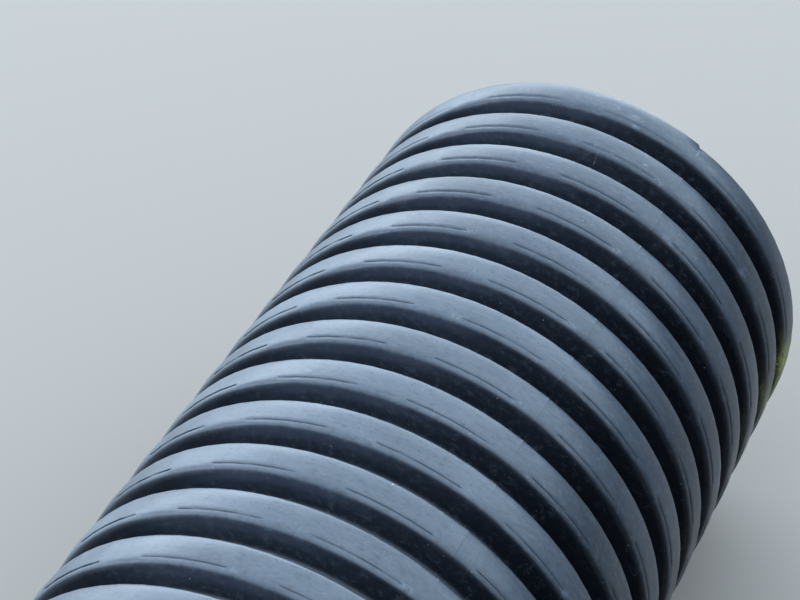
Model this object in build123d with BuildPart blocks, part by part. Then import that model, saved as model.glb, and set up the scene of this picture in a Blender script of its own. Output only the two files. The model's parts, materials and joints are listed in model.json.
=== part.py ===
"""Corrugated plastic drain pipe: one stock length of culvert pipe, lying level.

The pipe is moulded in one piece from two skins. A smooth liner makes the bore. The corrugated
outer skin is fused to the liner at the floor of every valley and stands away from it under every
rib, so each rib is a closed hollow ring. Both ends are sawn square through the middle of a valley.

The axis is X, and Z is up. The origin is on the axis, half-way along the pipe.
"""

from build123d import *
import math
import os

# Driving dimensions, in millimetres, with the draft in degrees
pipe_length = 3000.0
bore_diameter = 600.0
liner_wall = 3.5  # smooth inner skin
valley_wall = 5.0  # both skins, fused, at the floor of a valley
rib_skin = 2.8  # outer skin, where it stands away as a rib
rib_height = 38.5  # from the floor of a valley to the top of a crest
rib_pitch = 85.7  # from one rib to the next
valley_width = 25.5  # between the flanks of two ribs, at the floor
flank_draft = 6.0  # lean of a flank from square to the axis
crown_rise = 2.2  # bulge of a crest over its own edges
shoulder_radius = 12.0  # rounding between crest and flank
foot_radius = 7.0  # rounding between flank and valley

# Radii from the axis
bore_radius = bore_diameter / 2
liner_radius = bore_radius + liner_wall
valley_radius = bore_radius + valley_wall
crest_radius = valley_radius + rib_height

# Ribs: as many as the length holds, and their flanks
rib_count = int(pipe_length / rib_pitch)
foot_half_width = (rib_pitch - valley_width) / 2
flank_angle = math.radians(flank_draft)


def flank_x(radius, inset):
    """Distance from a rib's middle to its flank at this radius, where the flank is drawn in by inset."""
    return foot_half_width - (radius - valley_radius) * math.tan(flank_angle) - inset / math.cos(flank_angle)


def rib_outline(base_radius, inset):
    """Outline of a rib, drawn in by inset: a straight base, two leaning flanks and a crowned crest."""
    crown_radius = crest_radius - inset
    edge_radius = crown_radius - crown_rise
    base_x = flank_x(base_radius, inset)
    edge_x = flank_x(edge_radius, inset)
    Polyline((-edge_x, edge_radius), (-base_x, base_radius), (base_x, base_radius), (edge_x, edge_radius))
    ThreePointArc((edge_x, edge_radius), (0, crown_radius), (-edge_x, edge_radius))


# Section of one rib, its shoulders rounded
with BuildSketch() as rib_section:
    with BuildLine():
        rib_outline(valley_radius, 0)
    make_face()
    fillet(rib_section.vertices().group_by(Axis.Y)[-1], shoulder_radius)

# Section of the hollow under a rib: one skin inside it, and resting on the liner
with BuildSketch() as hollow_section:
    with BuildLine():
        rib_outline(liner_radius, rib_skin)
    make_face()
    fillet(hollow_section.vertices().group_by(Axis.Y)[-1], shoulder_radius - rib_skin)

# Section of the whole wall, above the axis: fused skins, a rib at every pitch with rounded feet, hollows
with BuildSketch(Plane.XZ) as wall_section:
    with Locations((0, bore_radius)):
        Rectangle(pipe_length, valley_wall, align=(Align.CENTER, Align.MIN))
    with GridLocations(rib_pitch, 0, rib_count, 1):
        add(rib_section.sketch)
    floor_corners = wall_section.vertices().group_by(Axis.Y)[1].sort_by(Axis.X)
    fillet(floor_corners[1:-1], foot_radius)
    with GridLocations(rib_pitch, 0, rib_count, 1):
        add(hollow_section.sketch, mode=Mode.SUBTRACT)

# The pipe: its wall section turned once about the axis
with BuildPart() as pipe:
    revolve(wall_section.sketch, axis=Axis.X)

pipe.part.label = "pipe"

os.makedirs("parts", exist_ok=True)
export_step(pipe.part, "parts/pipe.step")

volume_litres = pipe.part.volume / 1e6
print("outer diameter", 2 * crest_radius, "mm,", rib_count, "ribs,", round(volume_litres, 2), "litres of plastic")
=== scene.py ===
# %% [markdown]
# # A corrugated drain pipe, dressed in Blender
# This lesson turns a plain solid of a black culvert pipe into the weathered pipe of the photograph. The
# solid comes first and stays as it is. Around it go a finer skin, a weathered plastic, a floor, lights and
# a camera. Everything is in metres, in the solid's own frame: X runs along the pipe, Z is up, and the
# middle of the pipe is the origin.

# %% Load the solid
import json
import math

import bpy
import numpy as np
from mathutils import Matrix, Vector


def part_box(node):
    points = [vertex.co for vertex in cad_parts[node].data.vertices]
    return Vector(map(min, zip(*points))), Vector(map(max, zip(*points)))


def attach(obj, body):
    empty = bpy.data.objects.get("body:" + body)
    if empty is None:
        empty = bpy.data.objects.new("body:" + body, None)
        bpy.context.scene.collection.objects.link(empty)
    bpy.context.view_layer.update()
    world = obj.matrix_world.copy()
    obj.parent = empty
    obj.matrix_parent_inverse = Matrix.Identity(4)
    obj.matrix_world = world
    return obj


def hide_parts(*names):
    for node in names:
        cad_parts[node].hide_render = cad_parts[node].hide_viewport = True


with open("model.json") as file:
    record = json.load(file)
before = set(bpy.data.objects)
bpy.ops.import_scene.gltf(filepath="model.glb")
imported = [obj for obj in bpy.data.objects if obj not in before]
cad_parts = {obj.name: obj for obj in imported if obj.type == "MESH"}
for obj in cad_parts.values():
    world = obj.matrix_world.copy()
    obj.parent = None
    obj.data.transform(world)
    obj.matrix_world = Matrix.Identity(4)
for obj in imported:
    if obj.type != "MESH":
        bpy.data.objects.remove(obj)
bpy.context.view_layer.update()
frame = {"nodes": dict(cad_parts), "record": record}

print("nodes of the solid:", sorted(frame["nodes"]))

# %% [markdown]
# ## The sizes of the pipe
# The length, the crest and the bore come from the solid and its record. The shape of a rib isn't in the
# record, so its few sizes are written here once more, as they are in the solid: a straight floor, a
# rounded foot, a leaning flank, a rounded shoulder and a crest with a slight crown.

# %% Sizes of the pipe and of one rib
box_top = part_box("pipe")[1].z
bore_mount = next(m for m in frame["record"]["mounts"] if m["name"] == "bore")
bore_radius = bore_mount["dims"]["r_mm"] / 1000
pipe_length = bore_mount["dims"]["length_mm"] / 1000
crest_radius = 0.3435
valley_radius = 0.305
rib_pitch = 0.0857
valley_width = 0.0255
flank_draft = math.radians(6.0)
crown_rise = 0.0022
shoulder_radius = 0.012
foot_radius = 0.007
rib_count = int(pipe_length / rib_pitch)
print(rib_count, "ribs, crest radius", crest_radius, "and the top of the box at", round(box_top, 4))

# %% [markdown]
# ## The camera
# A camera is a place, a direction and a lens. Here all three were worked out from the curves of the ribs
# in the photograph, which only one camera can draw: it stands over the pipe, a little to its right, and
# looks along it and down with a long lens. It comes before the looks, because every later choice is judged
# through it.

# %% Place the camera
camera_place = Vector((-1.1861, -0.8986, 2.1660))
camera_heading = math.radians(24.09)  # from the pipe's axis, towards the pipe's left side
camera_dip = math.radians(38.28)  # below level
camera_lens = 104.6  # mm, for a frame 36 mm wide

camera_data = bpy.data.cameras.new("photo_camera")
camera_data.lens = camera_lens
camera_data.sensor_width = 36.0
camera = bpy.data.objects.new("photo_camera", camera_data)
look = Vector((math.cos(camera_heading) * math.cos(camera_dip),
               math.sin(camera_heading) * math.cos(camera_dip),
               -math.sin(camera_dip)))
camera.location = camera_place
camera.rotation_euler = look.to_track_quat("-Z", "Y").to_euler()
bpy.context.scene.collection.objects.link(camera)
bpy.context.scene.camera = camera
print("the camera is", round(camera_place.length, 2), "m from the middle of the pipe")

# %% [markdown]
# ## The outline of one rib
# A rib is the same all round, so its outline is the only drawing that the pipe needs. It could be drawn
# as a curve object, but here it is worked out as arrays of points, arc by arc. Each arc needs a centre:
# that of the foot lies over the floor, and that of the shoulder is where the flank and the crown, both
# drawn in by the shoulder's radius, meet.

# %% Corners and centres of the outline
foot_half = (rib_pitch - valley_width) / 2
lean = math.tan(flank_draft)
upright = math.pi / 2 - flank_draft
crown_half = foot_half - (crest_radius - crown_rise - valley_radius) * lean
crown_sweep = (crown_half ** 2 + crown_rise ** 2) / (2 * crown_rise)
crown_centre = crest_radius - crown_sweep


def shoulder_centre():
    """Where the left flank, moved in by the shoulder's radius, meets the crown's circle, made smaller by it.

    The moved flank is x = a + b r. Put into the circle x^2 + (r - c)^2 = q^2, it gives a quadratic in r."""
    b = lean
    a = -foot_half - valley_radius * b + shoulder_radius / math.cos(flank_draft)
    q = crown_sweep - shoulder_radius
    half_b = (a * b - crown_centre) / (1 + b * b)
    rest = (a * a + crown_centre ** 2 - q * q) / (1 + b * b)
    r = -half_b + math.sqrt(half_b ** 2 - rest)
    return a + b * r, r


shoulder_x, shoulder_r = shoulder_centre()
crown_turn = math.asin(-shoulder_x / (crown_sweep - shoulder_radius))
print("a shoulder turns about x", round(shoulder_x * 1000, 2), "and radius", round(shoulder_r * 1000, 2))

# %% [markdown]
# ## The vent slots
# The mould of such a pipe has thin slots along the near shoulder of each rib, where air is drawn out. The
# hot plastic follows them, so the finished pipe has a small step down there with a narrow ledge below it,
# broken off at even angles. Each point of the outline therefore gets three more numbers: the direction in
# which it can be pushed out, and how far a slot pushes it. The slots could be painted as a bump, but a real
# step keeps its shadow from every side.

# %% Rows of one rib: x, radius, outward direction (x and radius), push of a slot


def arc(centre_x, centre_r, radius, turns, push=0.0):
    """Points on a circle, where a turn is measured from outwards to +X, with their outward direction."""
    turns = np.asarray(turns, float)
    rows = np.column_stack((centre_x + radius * np.sin(turns), centre_r + radius * np.cos(turns),
                            np.sin(turns), np.cos(turns), np.zeros(len(turns))))
    rows[:, 4] = push
    return rows


def foot(side):
    """The hollow rounding between valley and flank: a quarter circle or so, seen from its inside."""
    reach = foot_radius * math.tan(upright / 2)
    turns = np.linspace(math.pi, math.pi - upright, 3)
    rows = arc(-foot_half - reach, valley_radius + foot_radius, foot_radius, turns)
    rows[:, 2:4] *= -1
    return rows if side < 0 else rows[::-1] * (-1, 1, -1, 1, 1)


slot_turns = np.radians([-84, -68, -55, -45, -36.5, -29, -22, -16.5, -13.5])
slot_push = np.array([0, 0.28, 0.64, 0.8, 0.5, -0.05, -0.54, -0.76, -0.9]) / 1000
near_shoulder = np.vstack((arc(shoulder_x, shoulder_r, shoulder_radius, slot_turns, slot_push),
                           arc(shoulder_x, shoulder_r, shoulder_radius, [-crown_turn])))
far_shoulder = arc(-shoulder_x, shoulder_r, shoulder_radius, np.linspace(crown_turn, upright, 6))
crown = arc(0, crown_centre, crown_sweep, crown_turn * np.array([-0.72, 0, 0.5]))
floor_row = np.array([[-rib_pitch / 2, valley_radius, 0, 1, 0]])
rib_rows = np.vstack((floor_row, foot(-1), near_shoulder, crown, far_shoulder, foot(1)))
print("one rib has", len(rib_rows), "rows; its top is at", round(rib_rows[:, 1].max(), 4))

# %% [markdown]
# ## The whole section
# The section runs along the outside, over one sawn end, back through the bore and over the other end, so
# it is a closed loop. The saw leaves the edges of each end very slightly broken.

# %% Rows of the whole section
rib_middles = (np.arange(rib_count) - (rib_count - 1) / 2) * rib_pitch
offsets = np.zeros((rib_count, 1, 5))
offsets[:, 0, 0] = rib_middles
outside = (rib_rows[None] + offsets).reshape(-1, 5)[1:]
half_length = pipe_length / 2
edge = 0.0005
end_rows = np.array([[half_length - edge, valley_radius, 0, 1, 0],
                     [half_length, valley_radius - edge, 1, 0, 0],
                     [half_length, bore_radius + edge, 1, 0, 0],
                     [half_length - edge, bore_radius, 0, -1, 0]])
section = np.vstack((end_rows[::-1] * (-1, 1, -1, 1, 1), outside, end_rows))
first_out, last_out = 3, len(section) - 4
print("the section has", len(section), "rows, of which the outside takes", last_out - first_out + 1)

# %% [markdown]
# ## The columns
# Round the pipe the section is set down once at each column. Even steps would cut through the ends of the
# slots, so the columns follow them: twelve slots of 19 degrees, each with a gap of 11 degrees. The mould
# closes along two lines, in the middle of a gap, and five extra columns stand on and close beside each.

# %% Angles of the columns, from the top towards +Y
parting = math.radians(-31.2)
slot_step = math.radians(30)
slot_middles = parting + slot_step * (np.arange(12) + 0.5)
around_slot = np.radians([-10.1, -8.9, -4.5, 0, 4.5, 8.9, 10.1, 15])
slot_reach = math.radians(10.1)  # from the middle of a slot to where its push is gone
slot_fade = math.radians(1.2)  # over which it fades
beside_parting = np.radians([-0.8, -0.17, 0, 0.17, 0.8])
angles = np.concatenate(((slot_middles[:, None] + around_slot).ravel(), parting + beside_parting,
                         parting + math.pi + beside_parting))
angles = np.sort((angles + math.pi) % (2 * math.pi) - math.pi)
print(len(angles), "columns, the widest step is", round(math.degrees(np.diff(angles).max()), 2), "degrees")


def from_nearest(angle, first, step):
    """Signed angle from the nearest of the marks that start at first and repeat at each step."""
    return (angle - first + step / 2) % step - step / 2


# %% [markdown]
# ## What the mould and the years did to the shape
# The two halves of the mould never match quite, so one half of the pipe is a little smaller, and a thin
# flash stands up along each parting line. The last rib had the worst of it: beyond the parting line its
# far edge stands in, with a nick where the line crosses it. Hot plastic also sags as it cools, so no crest
# is a true circle. Each effect is one term of a formula, and all of them together are the push of a point.

# %% Terms of the push, with their sizes in metres
flash_height = 0.0001
flash_width = 0.0009
mould_mismatch = 0.0002
sag_depth = 0.0005
sag_random = np.random.default_rng(11)
sag_waves = np.array([2, 3, 4, 6, 9])
sag_drift = sag_random.uniform(-8, 8, 5)
sag_phase = sag_random.uniform(0, 2 * math.pi, 5)


def crest_share(rows):
    """0 on the floor of a valley, 1 on a crest: the height over the floor as a share of a rib's height."""
    return np.clip((rows[:, 1] - valley_radius) / (crest_radius - valley_radius), 0, 1)[:, None]


def slot_term(rows, angle):
    """The push of a slot, whole over its 19 degrees and gone 0.6 degree beyond its ends."""
    away = np.abs(from_nearest(angle, slot_middles[0], slot_step))
    return rows[:, 4:5] * np.clip((slot_reach - away) / slot_fade, 0, 1)


def parting_term(angle):
    """A flash 0.1 mm high and 2 mm wide on each parting line, less 0.2 mm over the right half of the pipe."""
    away = from_nearest(angle, parting, math.pi) * crest_radius
    flash = flash_height * np.exp(-(away / flash_width) ** 2)
    right_half = (np.sin(angle - parting) < 0) * np.clip(np.abs(away) / 0.005, 0, 1)
    return flash - mould_mismatch * right_half


def sag_term(rows, angle):
    """Slow waves round the pipe that drift along it, from none to 0.5 mm inwards, on the crests only."""
    waves = np.sin(sag_waves[:, None, None] * angle + sag_drift[:, None, None] * rows[:, :1] * 2
                   + sag_phase[:, None, None]).mean(0)
    return -sag_depth / 2 * (1 - waves) * crest_share(rows)


print("a flash", flash_height * 1000, "mm high, and a sag of up to", sag_depth * 1000, "mm")

# %% Push of every point of the skin
last_edge_in = 0.003
nick_depth = 0.004


def last_rib_term(rows, angle):
    """On the far side of the last rib: 3 mm in beyond the parting line, fading over 50 degrees, and a nick.

    The nick is 4 mm deep on the line itself and gone 0.8 degree, or 5 mm, to either side."""
    far_side = np.clip((rows[:, :1] - rib_middles[-1] - 0.002) / 0.015, 0, 1) * crest_share(rows) ** 2
    past_line = np.maximum(parting - angle, 0)
    beyond = np.clip(past_line / math.radians(0.5), 0, 1) * np.exp(-past_line / math.radians(25))
    nick = np.clip(1 - np.abs(angle - parting) / math.radians(0.8), 0, 1)
    return -far_side * (last_edge_in * beyond + nick_depth * nick)


def skin_push(rows, angle):
    """All terms together, in metres along the outward direction, and none on the ends and in the bore."""
    push = slot_term(rows, angle) + parting_term(angle) + sag_term(rows, angle) + last_rib_term(rows, angle)
    top = rows[:, 1:2] + rows[:, 3:4] * push
    return np.minimum(push, push + crest_radius - np.maximum(top, crest_radius))


push = np.zeros((len(section), len(angles)))
push[first_out + 1:last_out] = skin_push(section[first_out + 1:last_out], angles[None])
print("pushes from", round(push.min() * 1000, 2), "to", round(push.max() * 1000, 2), "mm")

# %% [markdown]
# ## The skin of the pipe
# Now the skin is one formula: each row of the section, pushed out or in, is turned round the axis to each
# column. Rows and columns both wrap round, so the mesh has no open edge. Its volume, counted from the
# faces, comes out positive only if they all point outwards.

# %% Functions for points, faces and a mesh


def turned_points(section, angles, push):
    """Row (x, r) and angle a give the point (x', r' sin a, r' cos a), where x' and r' include the push."""
    x = section[:, 0:1] + section[:, 2:3] * push
    r = section[:, 1:2] + section[:, 3:4] * push
    return np.stack((x, r * np.sin(angles), r * np.cos(angles)), -1)


def wrapped_faces(row_count, column_count):
    """One four-sided face for each cell of a grid that wraps round in both directions.

    Its corners go to the next row first, which is counterclockwise as seen from outside."""
    rows, cols = np.meshgrid(np.arange(row_count), np.arange(column_count), indexing="ij")
    next_row = (rows + 1) % row_count
    next_col = (cols + 1) % column_count
    return np.stack((rows * column_count + cols, next_row * column_count + cols,
                     next_row * column_count + next_col, rows * column_count + next_col), -1).reshape(-1, 4)


def mesh_of(name, points, faces):
    """A smooth mesh from whole arrays, with an edge kept sharp where its faces meet at over 50 degrees."""
    mesh = bpy.data.meshes.new(name)
    mesh.vertices.add(len(points))
    mesh.vertices.foreach_set("co", points.ravel())
    mesh.loops.add(faces.size)
    mesh.loops.foreach_set("vertex_index", faces.ravel())
    mesh.polygons.add(len(faces))
    mesh.polygons.foreach_set("loop_start", np.arange(0, faces.size, 4))
    mesh.polygons.foreach_set("use_smooth", np.ones(len(faces), bool))
    mesh.update(calc_edges=True)
    mesh.validate()
    mesh.set_sharp_from_angle(angle=math.radians(50))
    return mesh


print("the skin is a grid of", len(section), "rows and", len(angles), "columns")

# %% Mesh of the skin
points = turned_points(section, angles, push).reshape(-1, 3)
faces = wrapped_faces(len(section), len(angles))
skin_mesh = mesh_of("pipe_skin", points, faces)
corner = points[faces]
volume = (np.cross(corner[:, 1], corner[:, 2]) * corner[:, 0]).sum() / 6
volume += (np.cross(corner[:, 2], corner[:, 3]) * corner[:, 0]).sum() / 6
print(2 * len(faces), "triangles around", round(volume * 1000, 1), "litres")

# %% [markdown]
# ## Unrolling the skin
# A UV map is the skin laid flat: across is the way round the pipe, up is the way along the section. Its
# seam lies underneath, where nobody looks. At the seam the last column meets the first one, so its far edge
# is 0 and not 1. The map runs against the angle, because otherwise it would lie on the pipe mirrored.

# %% UV map
steps = np.diff(np.vstack((section, section[:1]))[:, :2], axis=0)
up_edges = np.concatenate(([0], np.cumsum(np.hypot(steps[:, 0], steps[:, 1]))))
up_edges /= up_edges[-1]
across_edges = np.append(angles, angles[0] + 2 * math.pi)
across_edges = (across_edges - across_edges[0]) / (2 * math.pi)
row_of, column_of = np.divmod(np.arange(len(faces)), len(angles))
uv = np.empty((len(faces), 4, 2))
uv[:, :, 0] = 1 - across_edges[np.stack((column_of, column_of, column_of + 1, column_of + 1), 1)]
uv[:, :, 1] = up_edges[np.stack((row_of, row_of + 1, row_of + 1, row_of), 1)]
skin_mesh.uv_layers.new(name="unrolled").data.foreach_set("uv", uv.ravel())
print("the map runs to", uv.max(axis=(0, 1)))

# %% Object of the skin
skin = bpy.data.objects.new("pipe_skin", skin_mesh)
bpy.context.scene.collection.objects.link(skin)
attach(skin, "root")
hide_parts("pipe")
print(skin.name, "has", len(skin_mesh.vertices), "points")

# %% [markdown]
# ## Tools for building materials
# A material is a net of nodes. Adding each node by hand takes many lines, so three small helpers do it:
# one adds a node and fills its inputs, one does sums, and one turns a range of values into a mask.

# %% Helpers for node nets


def add(tree, kind, inputs=None, **fields):
    """Add a node, set its fields, and give each named or numbered input a value or a link."""
    node = tree.nodes.new(kind)
    for field, value in fields.items():
        setattr(node, field, value)
    for key, value in (inputs or {}).items():
        if isinstance(value, bpy.types.NodeSocket):
            tree.links.new(value, node.inputs[key])
        else:
            node.inputs[key].default_value = value
    return node


def sums(tree, operation, *values):
    """One Math node on up to three values or sockets. Returns its result."""
    return add(tree, "ShaderNodeMath", dict(enumerate(values)), operation=operation).outputs[0]


def fade(tree, value, start, end, low=0.0, high=1.0):
    """A smooth ramp: low up to start, high from end, and an S-curve between."""
    return add(tree, "ShaderNodeMapRange", {0: value, 1: start, 2: end, 3: low, 4: high},
               interpolation_type="SMOOTHSTEP").outputs[0]


print("helpers:", [helper.__name__ for helper in (add, sums, fade)])

# %% [markdown]
# Five more build on these. The first three stretch a vector, make a soft noise and mix two colours. The
# last two start a group of nodes and place a group in a material, so each effect is built once and used
# wherever it fits.

# %% Helpers for noise, colours and groups


def stretch(tree, vector, factors):
    """A vector with each of its parts multiplied by its own factor."""
    return add(tree, "ShaderNodeVectorMath", {0: vector, 1: factors}, operation="MULTIPLY").outputs[0]


def cloud(tree, vector, scale, detail=3.0, roughness=0.5):
    """Soft noise from 0 to 1 with its mean at a half."""
    return add(tree, "ShaderNodeTexNoise", {"Vector": vector, "Scale": scale, "Detail": detail,
                                            "Roughness": roughness}).outputs[0]


def blend_colour(tree, share, under, over):
    """Two colours mixed by a share from 0 to 1."""
    return add(tree, "ShaderNodeMix", {0: share, 6: under, 7: over}, data_type="RGBA").outputs[2]


def new_group(name, inputs, outputs):
    """An empty node group with named sockets. Returns the group and its two end nodes."""
    group = bpy.data.node_groups.new(name, "ShaderNodeTree")
    kinds = {"number": "NodeSocketFloat", "vector": "NodeSocketVector"}
    for socket_name, kind in inputs.items():
        group.interface.new_socket(socket_name, in_out="INPUT", socket_type=kinds[kind])
    for socket_name, kind in outputs.items():
        group.interface.new_socket(socket_name, in_out="OUTPUT", socket_type=kinds[kind])
    print("group", name, "takes", list(inputs), "and gives", list(outputs))
    return group, group.nodes.new("NodeGroupInput"), group.nodes.new("NodeGroupOutput")


def use(tree, group, inputs):
    """Place a group in a net and fill its inputs."""
    return add(tree, "ShaderNodeGroup", inputs, node_tree=group).outputs


print("more helpers:", [helper.__name__ for helper in (stretch, cloud, blend_colour, new_group, use)])

# %% [markdown]
# ## Where am I on the pipe?
# Most effects follow the pipe's own shape: dust lies on crests, streaks run round, slots repeat. So the
# first group turns a point into the pipe's own measures. The distance along the axis wraps at each rib,
# and the angle comes from the arctangent of the two other coordinates. Laid out as a new vector, they are
# the pipe unrolled, in metres.

# %% Group: place on the pipe
place_group, way_in, way_out = new_group(
    "place_on_pipe", {"Point": "vector"},
    {"Across": "number", "Degrees": "number", "Height": "number", "Rib": "number", "Unrolled": "vector"})
net = place_group
parts = add(net, "ShaderNodeSeparateXYZ", {0: way_in.outputs["Point"]}).outputs
turn = sums(net, "ARCTAN2", parts[1], parts[2])
reach = sums(net, "SQRT", sums(net, "ADD", sums(net, "MULTIPLY", parts[1], parts[1]),
                               sums(net, "MULTIPLY", parts[2], parts[2])))
results = {
    "Across": sums(net, "WRAP", parts[0], rib_pitch / 2, -rib_pitch / 2),
    "Degrees": sums(net, "DEGREES", turn),
    "Height": add(net, "ShaderNodeMapRange", {0: reach, 1: valley_radius, 2: crest_radius}).outputs[0],
    "Rib": sums(net, "ROUND", sums(net, "DIVIDE", parts[0], rib_pitch)),
    "Unrolled": add(net, "ShaderNodeCombineXYZ",
                    {0: parts[0], 1: sums(net, "MULTIPLY", turn, crest_radius), 2: reach}).outputs[0],
}
for name, socket in results.items():
    net.links.new(socket, way_out.inputs[name])

# %% [markdown]
# ## Dust
# Dust settles on what faces up. It is patchy over a hand's breadth, because rain moves it, and grainy
# close up. The mask is a product of those three.

# %% Group: dust
dust_group, way_in, way_out = new_group(
    "settled_dust", {"Point": "vector", "Normal": "vector", "Amount": "number"}, {"Mask": "number"})
net = dust_group
facing_up = add(net, "ShaderNodeSeparateXYZ", {0: way_in.outputs["Normal"]}).outputs[2]
point = way_in.outputs["Point"]
patches = fade(net, cloud(net, point, 7.0, 5.0, 0.6), 0.36, 0.64, 0.45, 1.0)
grains = fade(net, cloud(net, point, 520.0, 2.0), 0.38, 0.62, 0.55, 1.0)
lying = sums(net, "MULTIPLY", fade(net, facing_up, -0.2, 0.9), sums(net, "MULTIPLY", patches, grains))
net.links.new(sums(net, "MULTIPLY", lying, way_in.outputs["Amount"]), way_out.inputs["Mask"])

# %% [markdown]
# ## Water marks
# Rain runs off a crest round the pipe and leaves thin pale streaks where it dries. On the unrolled pipe
# those are long the one way and narrow the other, so a noise is squeezed along the axis and drawn out
# round it.

# %% Group: water marks
water_group, way_in, way_out = new_group("water_marks", {"Unrolled": "vector"}, {"Mask": "number"})
net = water_group
unrolled = way_in.outputs["Unrolled"]
streaks = fade(net, cloud(net, stretch(net, unrolled, (190, 7, 30)), 1.0, 4.0, 0.6), 0.5, 0.72)
where = fade(net, cloud(net, stretch(net, unrolled, (9, 4, 4)), 1.0, 3.0), 0.42, 0.66)
net.links.new(sums(net, "MULTIPLY", streaks, where), way_out.inputs["Mask"])

# %% [markdown]
# ## Grit
# Sand grains and splashes are small round dots, each of its own size. A Voronoi texture gives the
# distance to the nearest of many scattered points and a random colour for each: one part of the colour
# decides whether there is a grain at all, another how big it is.

# %% Group: grit
grit_group, way_in, way_out = new_group(
    "grit", {"Point": "vector", "Per metre": "number", "Share": "number"}, {"Mask": "number"})
net = grit_group
dots = add(net, "ShaderNodeTexVoronoi",
           {"Vector": way_in.outputs["Point"], "Scale": way_in.outputs["Per metre"]})
chance = add(net, "ShaderNodeSeparateColor", {0: dots.outputs["Color"]}).outputs
there = sums(net, "LESS_THAN", chance[0], way_in.outputs["Share"])
size = fade(net, chance[1], 0.0, 1.0, 0.05, 0.2)
dot = sums(net, "LESS_THAN", dots.outputs["Distance"], size)
net.links.new(sums(net, "MULTIPLY", there, dot), way_out.inputs["Mask"])

# %% [markdown]
# ## Scratches
# Where a soft noise passes through one value it draws a thin, wandering line. Drawn out along one
# direction, such lines look like hair scratches. A second noise lets only pieces of them through.

# %% Group: scratches
scratch_group, way_in, way_out = new_group(
    "hair_scratches", {"Vector": "vector", "Fineness": "number"}, {"Mask": "number"})
net = scratch_group
field = cloud(net, way_in.outputs["Vector"], 1.0, 1.0, 0.3)
off_line = sums(net, "ABSOLUTE", sums(net, "SUBTRACT", field, 0.5))
line = sums(net, "LESS_THAN", off_line, way_in.outputs["Fineness"])
pieces = fade(net, cloud(net, stretch(net, way_in.outputs["Vector"], (2.7, 0.45, 1.3)), 1.0, 2.0), 0.55, 0.63)
net.links.new(sums(net, "MULTIPLY", line, pieces), way_out.inputs["Mask"])

# %% [markdown]
# ## Scuffs
# A few marks stand at known places. Each is an oval patch: the distance from its middle, measured with the
# oval's own two sizes, fades it out, and a fine noise breaks it up into flecks.

# %% Group: scuff
scuff_group, way_in, way_out = new_group(
    "scuff", {"Unrolled": "vector", "Middle": "vector", "Stretch": "vector"}, {"Mask": "number"})
net = scuff_group
unrolled = way_in.outputs["Unrolled"]
apart = add(net, "ShaderNodeVectorMath", {0: unrolled, 1: way_in.outputs["Middle"]},
            operation="SUBTRACT").outputs[0]
oval = add(net, "ShaderNodeVectorMath", {0: stretch(net, apart, way_in.outputs["Stretch"])},
           operation="LENGTH").outputs["Value"]
flecks = fade(net, cloud(net, stretch(net, unrolled, (420, 300, 100)), 1.0, 4.0, 0.7), 0.4, 0.62)
net.links.new(sums(net, "MULTIPLY", fade(net, oval, 1.0, 0.2), flecks), way_out.inputs["Mask"])

# %% [markdown]
# ## The moulded surface
# Even clean, the plastic isn't smooth: it has the orange-peel of the mould, and fine lines round the pipe
# from the way it was drawn. Both are far too small for the mesh, so they are heights for a Bump node,
# from 0 to 1.

# %% Group: moulded surface
relief_height = 0.0004  # metres, for a height of 1 in a Bump node
surface_group, way_in, way_out = new_group(
    "moulded_surface", {"Point": "vector", "Unrolled": "vector"}, {"Height": "number"})
net = surface_group
peel = cloud(net, way_in.outputs["Point"], 260.0, 2.0)
swell = cloud(net, way_in.outputs["Point"], 24.0, 2.0)
drawn = cloud(net, stretch(net, way_in.outputs["Unrolled"], (700, 9, 120)), 1.0, 2.0)
height = sums(net, "MULTIPLY_ADD", peel, 0.13, sums(net, "MULTIPLY_ADD", drawn, 0.05,
                                                   sums(net, "MULTIPLY", swell, 0.9)))
net.links.new(height, way_out.inputs["Height"])

# %% [markdown]
# ## The colours
# Every colour is an amount of red, green and blue light that comes back, from 0 to 1, and a fourth number
# that is always 1. Black plastic gives back about one part in a hundred, and most of what lies on it gives
# back more.

# %% Colours
plain_plastic = (0.006, 0.007, 0.010, 1)
bleached_plastic = (0.029, 0.034, 0.044, 1)
chalk = (0.03, 0.036, 0.046, 1)
old_chalk = (0.105, 0.115, 0.13, 1)
pale_fleck = (0.066, 0.073, 0.084, 1)
dark_fleck = (0.008, 0.010, 0.014, 1)
worn_plastic = (0.06, 0.058, 0.07, 1)
# A pale dust colour, also used for a painted sheen on the left side.
pale_dust_and_sheen = (0.15, 0.165, 0.18, 1)
# A pale tone for painted light on the upper flanks.
upper_flank_light_colour = (0.062, 0.066, 0.084, 1)
dried_water = (0.15, 0.16, 0.17, 1)
rubbed_plastic = (0.23, 0.25, 0.28, 1)
# A near-black for painted shade in the steps of the slots.
step_shade_colour = (0.006, 0.006, 0.007, 1)
# A dark tone for painted shade on the flanks, also used to darken the tops of the far ribs.
darkening_colour = (0.009, 0.010, 0.013, 1)
parting_dirt = (0.008, 0.008, 0.009, 1)
pale_scratch = (0.16, 0.19, 0.23, 1)
sand = (0.34, 0.34, 0.32, 1)
dark_algae = (0.10, 0.10, 0.025, 1)
bright_algae = (0.45, 0.45, 0.11, 1)
smooth_plastic = (0.016, 0.017, 0.02, 1)
bore_dust = (0.17, 0.165, 0.15, 1)
bore_water = (0.14, 0.14, 0.14, 1)
torn_plastic = (0.055, 0.058, 0.063, 1)
end_dust = (0.17, 0.17, 0.165, 1)
floor_grey = (0.225, 0.192, 0.164, 1)
plastic_ior = 1.5  # how strongly the plastic bends light, which sets how much it mirrors
print("red light that comes back:", plain_plastic[0], "from plain plastic and", sand[0], "from sand")
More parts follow.
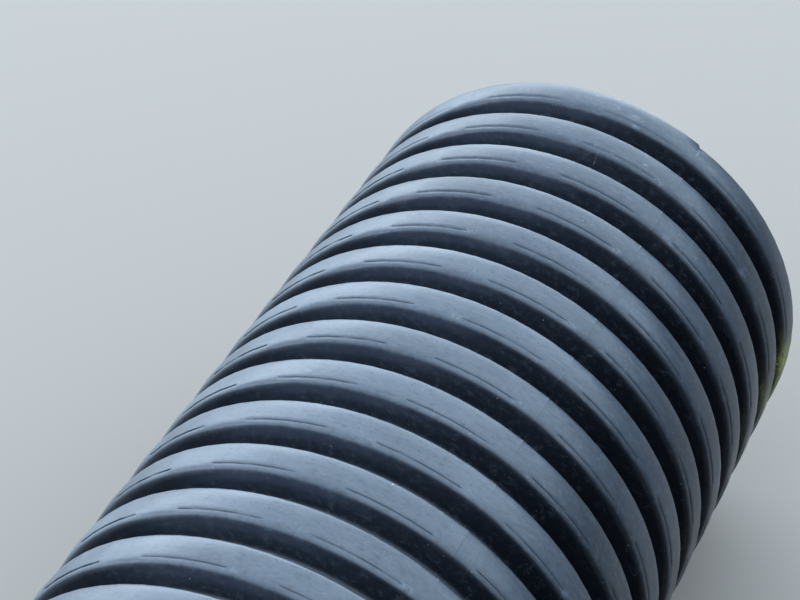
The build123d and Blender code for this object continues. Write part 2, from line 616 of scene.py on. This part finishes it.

# %% [markdown]
# ## The weathered outside
# Carbon black makes polyethylene nearly black right through. The sun slowly turns the crests a chalky
# grey, but not the shaded valleys, and the nearer ribs are chalkier than the far ones. On top come dust, a
# painted sheen on the left side, painted light on the upper flanks, dried water, pale rub marks at the ends
# of the slots, painted shade in the steps of the slots and on the flanks, darker tops of the far ribs, dirt
# along the parting lines, scratches, grit, and green algae low down on the far ribs. The material starts with
# the plain plastic and lays each of these over it by its mask, so the order of the cells is the order of the
# layers.

# %% Outside: plastic and its bleached crests
outside_paint = bpy.data.materials.new("weathered_black_plastic")
outside_paint.use_nodes = True
net = outside_paint.node_tree
shader = net.nodes["Principled BSDF"]
where = add(net, "ShaderNodeTexCoord").outputs
point, facing = where["Object"], where["Normal"]
place = use(net, place_group, {"Point": point})
unrolled = place["Unrolled"]
along = add(net, "ShaderNodeSeparateXYZ", {0: point}).outputs[0]
degrees = place["Degrees"]

sunny_side = 22.0  # degrees from the top, where the sun has bleached the pipe most
from_sun = sums(net, "ABSOLUTE", sums(net, "SUBTRACT", degrees, sunny_side))
faded = sums(net, "MULTIPLY", fade(net, from_sun, 85, 15), fade(net, place["Height"], 0.0, 0.9, 0.45, 1.0))
colour = blend_colour(net, faded, plain_plastic, bleached_plastic)
chalky = sums(net, "MULTIPLY", fade(net, place["Height"], 0.75, 1.0),
              fade(net, cloud(net, stretch(net, unrolled, (14, 5, 8)), 1.0, 5.0, 0.6), 0.3, 0.7, 0.25, 0.75))
colour = blend_colour(net, chalky, colour, chalk)
older = sums(net, "MULTIPLY", fade(net, along, 1.35, 0.75, 0.0, 0.7), fade(net, degrees, -65, -25, 0.1, 1.0))
colour = blend_colour(net, sums(net, "MULTIPLY", chalky, older), colour, old_chalk)
fine = cloud(net, stretch(net, unrolled, (200, 90, 120)), 1.0, 5.0, 0.75)
colour = blend_colour(net, fade(net, fine, 0.5, 0.7, 0.0, 0.6), colour, pale_fleck)
colour = blend_colour(net, fade(net, fine, 0.5, 0.3, 0.0, 0.55), colour, dark_fleck)
worn = fade(net, cloud(net, stretch(net, unrolled, (60, 30, 40)), 1.0, 4.0, 0.65), 0.46, 0.7, 0.0, 0.4)
worn = sums(net, "MULTIPLY", sums(net, "MULTIPLY", worn, faded), fade(net, place["Height"], 0.8, 1.0))
colour = blend_colour(net, worn, colour, worn_plastic)

print("the plain plastic takes", len(net.nodes), "nodes")

# %% [markdown]
# Dust has two amounts: a little on the bedded part of the pipe, and more on the left side, which is a painted
# sheen. Just under the ledges, a paler tone on the upper flanks is painted light. Each is a fade over the
# angle or along the pipe.

# %% Outside: dust, more of it where the pipe lay bedded
bedding = sums(net, "MULTIPLY", fade(net, sums(net, "ABSOLUTE", degrees), 25, 75),
               fade(net, along, 0.85, 0.15))
# The left side gets more of the pale dust colour: a painted sheen, for the sky mirrored there.
left_painted_sheen = sums(net, "MULTIPLY", fade(net, degrees, 20, 44, 0.05, 0.8), fade(net, degrees, 110, 70))
left_painted_sheen = sums(net, "MULTIPLY", left_painted_sheen, fade(net, place["Height"], 0.72, 0.92, 0.05, 1.0))
dust = use(net, dust_group, {"Point": point, "Normal": facing,
                             "Amount": sums(net, "MULTIPLY_ADD", bedding, 0.25, left_painted_sheen)})["Mask"]
colour = blend_colour(net, dust, colour, pale_dust_and_sheen)
# A paler tone on the upper flanks just under the ledges, near the top of the pipe: painted light.
under_ledge = sums(net, "MULTIPLY", fade(net, place["Height"], 0.38, 0.7),
                   fade(net, place["Height"], 0.84, 0.68))
upper_flank_painted_light = sums(net, "MULTIPLY", sums(net, "MULTIPLY", under_ledge, 0.45),
            fade(net, sums(net, "ABSOLUTE", sums(net, "SUBTRACT", degrees, 8.0)), 25, 8))
colour = blend_colour(net, upper_flank_painted_light, colour, upper_flank_light_colour)
water = sums(net, "MULTIPLY", use(net, water_group, {"Unrolled": unrolled})["Mask"],
             fade(net, place["Height"], 0.3, 0.9, 0.05, 0.12))
colour = blend_colour(net, water, colour, dried_water)

print("with the dust it takes", len(net.nodes))

# %% [markdown]
# The slots repeat every 30 degrees, so the angle from the middle of the nearest slot comes from a Math node
# that wraps. A white noise on the numbers of the rib and of the slot's end gives each end its own luck.

# %% Outside: pale rub marks beyond the ends of the slots, another strength at each, and single scuffs
# A scuff is its place along the pipe in metres and round it in degrees, two half sizes in mm, and a strength.
from_slot = sums(net, "WRAP", sums(net, "SUBTRACT", degrees, math.degrees(slot_middles[0])), 15.0, -15.0)
which_slot = sums(net, "ROUND", sums(net, "DIVIDE", sums(net, "SUBTRACT", degrees, from_slot), 15.0))
which_end = sums(net, "MULTIPLY_ADD", sums(net, "SIGN", from_slot), 0.25, which_slot)
luck = add(net, "ShaderNodeTexWhiteNoise", {"Vector": add(net, "ShaderNodeCombineXYZ", {
    0: place["Rib"], 1: which_end}).outputs[0]}, noise_dimensions="2D").outputs["Value"]
rub_turn = 10.6  # degrees from the middle of a slot to the rub mark beyond its end
rub_back = 0.0185  # metres from the middle of a rib back to the marks
near_end = fade(net, sums(net, "ABSOLUTE", sums(net, "SUBTRACT", sums(net, "ABSOLUTE", from_slot), rub_turn)),
                3.0, 0.2)
on_shoulder = fade(net, sums(net, "ABSOLUTE", sums(net, "ADD", place["Across"], rub_back)), 0.0065, 0.002)
mottle = fade(net, cloud(net, point, 150.0, 4.0, 0.7), 0.38, 0.64)
rubbed = sums(net, "MULTIPLY", sums(net, "MULTIPLY", near_end, on_shoulder),
              sums(net, "MULTIPLY", mottle, fade(net, luck, 0.55, 1.0, 0.02, 0.25)))
scuffs = [(1.456, -8.8, 11, 14, 0.22), (1.451, -14.2, 10, 18, 0.3), (1.4345, -15.3, 4, 8, 0.45),
          (1.367, -22.3, 4, 6, 0.4), (1.451, -36.8, 7, 15, 0.2), (1.3445, -11.2, 6, 0.8, 0.7),
          (1.0945, 22.6, 5, 12, 0.4), (1.0955, 3.7, 5, 13, 0.35), (1.253, -29.6, 3, 3, 0.7),
          (1.46, -31.2, 17, 3.5, 0.45), (1.375, -84, 5, 16, 0.5)]
for x, turned, half_along, half_round, strength in scuffs:
    spot = use(net, scuff_group, {"Unrolled": unrolled, "Middle": (x, math.radians(turned) * crest_radius, 0),
                                  "Stretch": (1000 / half_along, 1000 / half_round, 0)})["Mask"]
    rubbed = sums(net, "MAXIMUM", rubbed, sums(net, "MULTIPLY", spot, strength))
colour = blend_colour(net, rubbed, colour, rubbed_plastic)

print("with the rub marks it takes", len(net.nodes))

# %% [markdown]
# The steps of the slots get a near-black colour and less mirror, which is painted shade, and dirt collects
# along the parting lines. The flanks on both sides get darker and lose gloss, more further down: painted
# shade. The tops of the far ribs get darker too.

# %% Outside: painted shade at the steps of the slots and on the flanks, and dirt along the parting lines
# The steps of the slots get a near-black colour, patchy and stronger on the left: painted shade.
step_x = shoulder_x + shoulder_radius * math.sin((slot_turns[8] - crown_turn) / 2)
on_step = fade(net, sums(net, "ABSOLUTE", sums(net, "SUBTRACT", place["Across"], step_x)), 0.0011, 0.0005)
in_slot = fade(net, sums(net, "ABSOLUTE", from_slot), 9.9, 9.2)
step_painted_shade = sums(net, "MULTIPLY", sums(net, "MULTIPLY", on_step, in_slot),
                 sums(net, "MULTIPLY", fade(net, cloud(net, point, 35.0, 3.0), 0.3, 0.55, 0.25, 0.7),
                      fade(net, along, 1.46, 1.25, 0.15, 1.0)))
step_painted_shade = sums(net, "MULTIPLY", step_painted_shade, fade(net, degrees, 24, 34, 0.7, 1.3))
colour = blend_colour(net, step_painted_shade, colour, step_shade_colour)
# The flanks on both sides get a darker colour and less mirror, on the right also lower down: painted shade.
# The tops of the far ribs near the top get darker too.
lower_down = sums(net, "MAXIMUM", fade(net, place["Height"], 0.65, 0.88, 0.1, 0.8),
                  fade(net, degrees, -35, -60, 0.0, 0.7))
right_flank_shade = sums(net, "MULTIPLY", fade(net, degrees, -2, -32), lower_down)
left_flank_shade = sums(net, "MULTIPLY", fade(net, degrees, 20, 38), fade(net, degrees, 80, 55, 0.0, 0.5))
flank_shade = sums(net, "MULTIPLY", sums(net, "MAXIMUM", right_flank_shade, left_flank_shade),
                  fade(net, place["Height"], 0.94, 0.84))
near_top = fade(net, sums(net, "ABSOLUTE", sums(net, "SUBTRACT", degrees, 15.0)), 16, 4)
far_top_darkening = sums(net, "MULTIPLY", sums(net, "MULTIPLY", near_top, fade(net, place["Height"], 0.92, 0.98)),
                fade(net, along, 1.0, 1.25, 0.0, 0.28))
darkening = sums(net, "MAXIMUM", flank_shade, far_top_darkening)
colour = blend_colour(net, darkening, colour, darkening_colour)
from_parting = sums(net, "WRAP", sums(net, "SUBTRACT", degrees, math.degrees(parting)), 90.0, -90.0)
beside_line = sums(net, "ABSOLUTE", sums(net, "ADD", from_parting, 0.17))
seam_dirt = sums(net, "MULTIPLY", fade(net, beside_line, 0.12, 0.03),
                 sums(net, "MULTIPLY", fade(net, cloud(net, point, 30.0, 3.0), 0.4, 0.6, 0.05, 0.4),
                      fade(net, place["Height"], 0.6, 0.95)))
colour = blend_colour(net, seam_dirt, colour, parting_dirt)

print("with the dirt and the film it takes", len(net.nodes))

# %% Outside: scratches and grit
lengthways = use(net, scratch_group,
                 {"Vector": stretch(net, unrolled, (16, 75, 40)), "Fineness": 0.005})["Mask"]
roundways = use(net, scratch_group,
                {"Vector": stretch(net, unrolled, (95, 11, 50)), "Fineness": 0.0045})["Mask"]
scratched = sums(net, "MULTIPLY", sums(net, "MAXIMUM", lengthways, roundways),
                 fade(net, place["Height"], 0.2, 0.9, 0.04, 0.2))
colour = blend_colour(net, scratched, colour, pale_scratch)
fine_grit = use(net, grit_group, {"Point": point, "Per metre": 260.0, "Share": 0.014})["Mask"]
coarse_grit = use(net, grit_group, {"Point": point, "Per metre": 110.0, "Share": 0.004})["Mask"]
grit = sums(net, "MULTIPLY", sums(net, "MAXIMUM", fine_grit, coarse_grit), 0.5)
colour = blend_colour(net, grit, colour, sand)
print("with scratches and grit it takes", len(net.nodes))

# %% [markdown]
# The algae grow where the far ribs stay damp: low on the right side, most of all on the last two ribs, but
# not underneath. They are a yellow-green film in streaks, with a ragged edge, and two thicker patches
# stand where the photograph shows them, made with the group for scuffs.

# %% Outside: algae
damp = sums(net, "MULTIPLY", fade(net, degrees, -80, -95), fade(net, along, 1.22, 1.44))
damp = sums(net, "MULTIPLY", damp, fade(net, degrees, -150, -112))
on_crest = fade(net, along, 1.38, 1.45, 0.3, 1.0)
damp = sums(net, "MULTIPLY", damp, sums(net, "MAXIMUM", fade(net, place["Height"], 1.0, 0.85), on_crest))
ragged = fade(net, cloud(net, stretch(net, unrolled, (70, 9, 26)), 1.0, 6.0, 0.7), 0.36, 0.66)
speckled = fade(net, cloud(net, point, 330.0, 3.0, 0.7), 0.35, 0.6, 0.35, 1.0)
algae = sums(net, "MULTIPLY", sums(net, "MULTIPLY", damp, ragged), sums(net, "MULTIPLY", speckled, 0.85))
for x, turned, half_along, half_round, strength in [(1.45, -93, 36, 46, 0.95), (1.372, -95, 26, 42, 0.6)]:
    spot = use(net, scuff_group, {"Unrolled": unrolled, "Middle": (x, math.radians(turned) * crest_radius, 0),
                                  "Stretch": (1000 / half_along, 1000 / half_round, 0)})["Mask"]
    algae = sums(net, "MAXIMUM", algae, sums(net, "MULTIPLY", spot, strength))
tone = blend_colour(net, cloud(net, point, 45.0, 3.0), dark_algae, bright_algae)
colour = blend_colour(net, algae, colour, tone)
print("with the algae it takes", len(net.nodes))

# %% [markdown]
# Colour alone isn't enough: whatever lies on the plastic is also duller than it. The fine relief comes last,
# and all of it goes through one Bump node.

# %% Outside: gloss and bump
marks = sums(net, "MAXIMUM", rubbed, sums(net, "MAXIMUM", grit, step_painted_shade))
dull = sums(net, "MAXIMUM", sums(net, "MAXIMUM", dust, algae), marks)
shine = cloud(net, stretch(net, unrolled, (20, 6, 10)), 1.0, 4.0, 0.6)
rough = sums(net, "MULTIPLY_ADD", dull, 0.35, fade(net, shine, 0.3, 0.7, 0.29, 0.41))
surface = use(net, surface_group, {"Point": point, "Unrolled": unrolled})["Height"]
raised = sums(net, "MULTIPLY_ADD", grit, 0.8, sums(net, "MULTIPLY_ADD", algae, 0.5, surface))
relief = sums(net, "MULTIPLY_ADD", scratched, -0.35, raised)
bump = add(net, "ShaderNodeBump", {"Strength": 1.0, "Distance": relief_height, "Height": relief})
net.links.new(colour, shader.inputs["Base Color"])
net.links.new(rough, shader.inputs["Roughness"])
# Less mirror in the steps of the slots and on the flanks: painted shade.
net.links.new(sums(net, "MULTIPLY_ADD", sums(net, "MAXIMUM", step_painted_shade, darkening), -0.4, 0.5),
              shader.inputs["Specular IOR Level"])
net.links.new(bump.outputs[0], shader.inputs["Normal"])
shader.inputs["IOR"].default_value = plastic_ior
print("the outside has", len(net.nodes), "nodes")

# %% [markdown]
# ## The smooth liner
# The bore is a second skin, pressed against the ribs while hot. It is smoother and shinier than the
# outside and sinks in very slightly at each rib, which the eye catches as soft rings. Fine silt lies along
# its bottom.

# %% Liner
liner_paint = bpy.data.materials.new("smooth_liner")
liner_paint.use_nodes = True
net = liner_paint.node_tree
shader = net.nodes["Principled BSDF"]
where = add(net, "ShaderNodeTexCoord").outputs
point, facing = where["Object"], where["Normal"]
place = use(net, place_group, {"Point": point})
dust = use(net, dust_group, {"Point": point, "Normal": facing, "Amount": 0.32})["Mask"]
water = use(net, water_group, {"Unrolled": place["Unrolled"]})["Mask"]
colour = blend_colour(net, dust, smooth_plastic, bore_dust)
colour = blend_colour(net, sums(net, "MULTIPLY", water, 0.12), colour, bore_water)
rings = sums(net, "COSINE", sums(net, "MULTIPLY", place["Across"], 2 * math.pi / rib_pitch))
surface = use(net, surface_group, {"Point": point, "Unrolled": place["Unrolled"]})["Height"]
relief = sums(net, "MULTIPLY_ADD", rings, 1.2, sums(net, "MULTIPLY", surface, 0.5))
bump = add(net, "ShaderNodeBump", {"Strength": 1.0, "Distance": relief_height, "Height": relief})
net.links.new(colour, shader.inputs["Base Color"])
net.links.new(sums(net, "MULTIPLY_ADD", dust, 0.5, 0.27), shader.inputs["Roughness"])
net.links.new(bump.outputs[0], shader.inputs["Normal"])
shader.inputs["IOR"].default_value = plastic_ior
print("the liner has", len(net.nodes), "nodes")

# %% [markdown]
# ## The sawn ends
# A saw tears the plastic into fine straight furrows and leaves it dull and paler. The blade went straight
# down, so the furrows are level lines across the end: a noise squeezed along Z.

# %% Sawn ends
cut_paint = bpy.data.materials.new("sawn_plastic")
cut_paint.use_nodes = True
net = cut_paint.node_tree
shader = net.nodes["Principled BSDF"]
where = add(net, "ShaderNodeTexCoord").outputs
point = where["Object"]
furrows = cloud(net, stretch(net, point, (40, 25, 1500)), 1.0, 3.0, 0.6)
blotches = fade(net, cloud(net, point, 45.0, 4.0, 0.6), 0.35, 0.65)
colour = blend_colour(net, fade(net, furrows, 0.35, 0.65), smooth_plastic, torn_plastic)
dust = use(net, dust_group, {"Point": point, "Normal": where["Normal"], "Amount": 0.4})["Mask"]
dusty = sums(net, "MAXIMUM", dust, sums(net, "MULTIPLY", blotches, 0.15))
colour = blend_colour(net, dusty, colour, end_dust)
bump = add(net, "ShaderNodeBump", {"Strength": 1.0, "Distance": relief_height, "Height": furrows})
net.links.new(colour, shader.inputs["Base Color"])
net.links.new(fade(net, furrows, 0.3, 0.7, 0.5, 0.75), shader.inputs["Roughness"])
net.links.new(bump.outputs[0], shader.inputs["Normal"])
shader.inputs["IOR"].default_value = plastic_ior
print("the sawn ends have", len(net.nodes), "nodes")

# %% [markdown]
# ## Which face gets which material
# A mesh holds a list of materials, and each face holds a number in that list. The skin is a grid, so the
# row of a face says what it is: the last row wraps through the bore, and three rows at either end of the
# outside are the sawn ends.

# %% Materials onto the skin
for paint in (outside_paint, liner_paint, cut_paint):
    skin_mesh.materials.append(paint)
kind_of_row = np.zeros(len(section), int)
kind_of_row[:first_out] = 2
kind_of_row[last_out:] = 2
kind_of_row[-1] = 1
skin_mesh.polygons.foreach_set("material_index", kind_of_row[row_of])
skin_mesh.update()
print("rows of faces by material:", np.bincount(kind_of_row))

# %% [markdown]
# ## Floor, light and background
# The pipe lies on a plain pale floor. The light is that of an overcast sky: a very wide bluish panel
# overhead, which reaches down to 25 degrees or so above the horizon, and three low ones. The crests mirror
# the two beyond the far end towards the camera, and the near shoulders mirror the one behind on the left. A
# faint glow comes from everywhere else. The floor's paint is a mid grey, because so much light makes it pale.

# %% Floor
floor_mesh = bpy.data.meshes.new("floor")
half_floor = 30.0
floor_corners = [(-half_floor, -half_floor, -crest_radius), (half_floor, -half_floor, -crest_radius),
                 (half_floor, half_floor, -crest_radius), (-half_floor, half_floor, -crest_radius)]
floor_mesh.from_pydata(floor_corners, [], [(0, 1, 2, 3)])
floor = bpy.data.objects.new("floor", floor_mesh)
bpy.context.scene.collection.objects.link(floor)
floor_paint = bpy.data.materials.new("floor_paint")
floor_paint.use_nodes = True
floor_shader = floor_paint.node_tree.nodes["Principled BSDF"]
floor_shader.inputs["Base Color"].default_value = floor_grey
floor_shader.inputs["Roughness"].default_value = 0.9
floor_mesh.materials.append(floor_paint)
print("the floor lies at", -crest_radius)

# %% Light


def light_panel(name, place, target, width, height, brightness, colour):
    """A soft area light that faces the target. Its power is its brightness times pi times its area."""
    data = bpy.data.lights.new(name, "AREA")
    data.shape = "RECTANGLE"
    data.size, data.size_y = width, height
    data.energy = brightness * math.pi * width * height
    data.color = colour
    panel = bpy.data.objects.new(name, data)
    panel.location = place
    panel.rotation_euler = (Vector(target) - Vector(place)).to_track_quat("-Z", "Y").to_euler()
    panel.visible_camera = False
    bpy.context.scene.collection.objects.link(panel)
    return panel


light_panel("overcast", (2.5, 3.0, 6.5), (2.5, 3.0, 0), 28.0, 28.0, 2.35, (0.70, 0.85, 1.0))
light_panel("low_sky", (6.5, 4.0, 1.7), (0.9, 0, 0), 13.0, 3.4, 4.2, (0.73, 0.845, 0.95))
light_panel("right_sky", (7.0, -4.0, 3.1), (0.9, 0, 0), 7.0, 2.6, 1.5, (0.62, 0.81, 1.0))
light_panel("left_sky", (-2.2, 7.6, 2.0), (0, 0, 0), 3.6, 2.0, 7.5, (0.72, 0.86, 1.0))
world = bpy.data.worlds.new("studio")
world.use_nodes = True
world.node_tree.nodes["Background"].inputs["Color"].default_value = (0.48, 0.72, 1.0, 1)
world.node_tree.nodes["Background"].inputs["Strength"].default_value = 0.6
bpy.context.scene.world = world
bpy.context.scene.view_settings.view_transform = "Standard"
bpy.context.scene.view_settings.look = "Medium High Contrast"
print("lamps:", sorted(lamp.name for lamp in bpy.data.lights))
